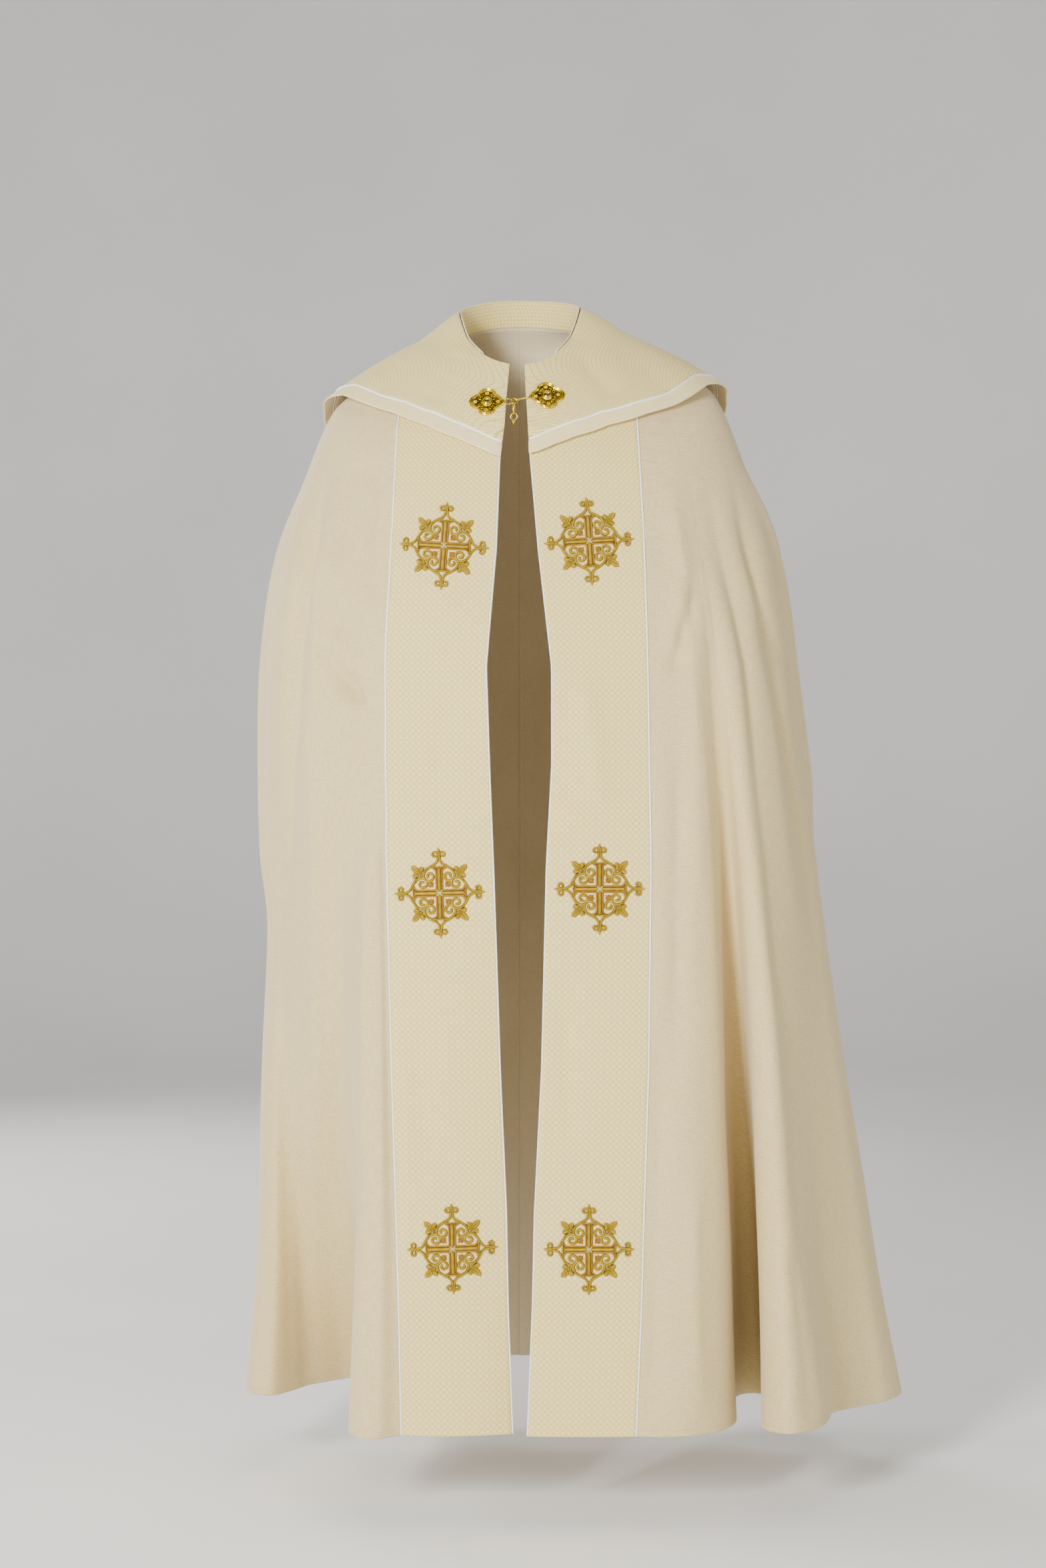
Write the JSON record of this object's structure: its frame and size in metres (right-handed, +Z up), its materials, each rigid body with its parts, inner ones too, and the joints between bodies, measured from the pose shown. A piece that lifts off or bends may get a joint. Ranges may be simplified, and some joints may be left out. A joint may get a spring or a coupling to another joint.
{
  "type": "cope vestment",
  "caption": "Worn cope: a cream half-round cloak open down the front, with damask orphreys, gold cross medallions, a shoulder cape and a gilt chain clasp.",
  "frame": {"origin": "middle of the neck base on the shoulder line, where the wearer's neck and shoulders hold the cope up", "axes": "+Z up, -Y the open front, +X the wearer's left side"},
  "size_m": [0.8998, 0.636, 1.4938],
  "materials": {
    "linen": "matte ecru linen-look twill",
    "damask": "cream damask with a low sheen",
    "band": "plain cream satin-backed band",
    "satin": "white satin cord",
    "gold_thread": "padded gold thread embroidery",
    "gold": "polished gilt metal"
  },
  "bodies": {
    "cope": {"mantle_right": "linen", "mantle_left": "linen", "orphrey_right": "damask", "orphrey_left": "damask", "piping_right_seam": "satin", "piping_left_seam": "satin", "piping_right_edge": "satin", "piping_left_edge": "satin", "cape": "damask", "cape_piping": "satin", "cape_band": "band", "collar_stand": "damask", "medallion_right_top_frame": "gold_thread", "medallion_right_top_cross": "gold_thread", "medallion_right_middle_frame": "gold_thread", "medallion_right_middle_cross": "gold_thread", "medallion_right_bottom_frame": "gold_thread", "medallion_right_bottom_cross": "gold_thread", "medallion_left_top_frame": "gold_thread", "medallion_left_top_cross": "gold_thread", "medallion_left_middle_frame": "gold_thread", "medallion_left_middle_cross": "gold_thread", "medallion_left_bottom_frame": "gold_thread", "medallion_left_bottom_cross": "gold_thread", "clasp_right_disc": "gold", "clasp_left_disc": "gold", "chain_link_1": "gold", "chain_link_2": "gold", "clasp_hook": "gold"},
    "chain_tail": {"chain_link_3": "gold"},
    "chain_end": {"chain_link_4": "gold", "chain_link_5": "gold"}
  },
  "joints": [
    {"name": "tail_swing", "type": "hinge", "parent": "cope", "child": "chain_tail", "pos_m": [-0.0068, -0.15005, -0.10975], "axis": [1, 0, 0], "range_deg": [-60, 4]},
    {"name": "tail_sway", "type": "hinge", "parent": "chain_tail", "child": "chain_end", "pos_m": [-0.0068, -0.15005, -0.1238], "axis": [0.342, 0.9397, 0], "range_deg": [-30, 8]}
  ]
}
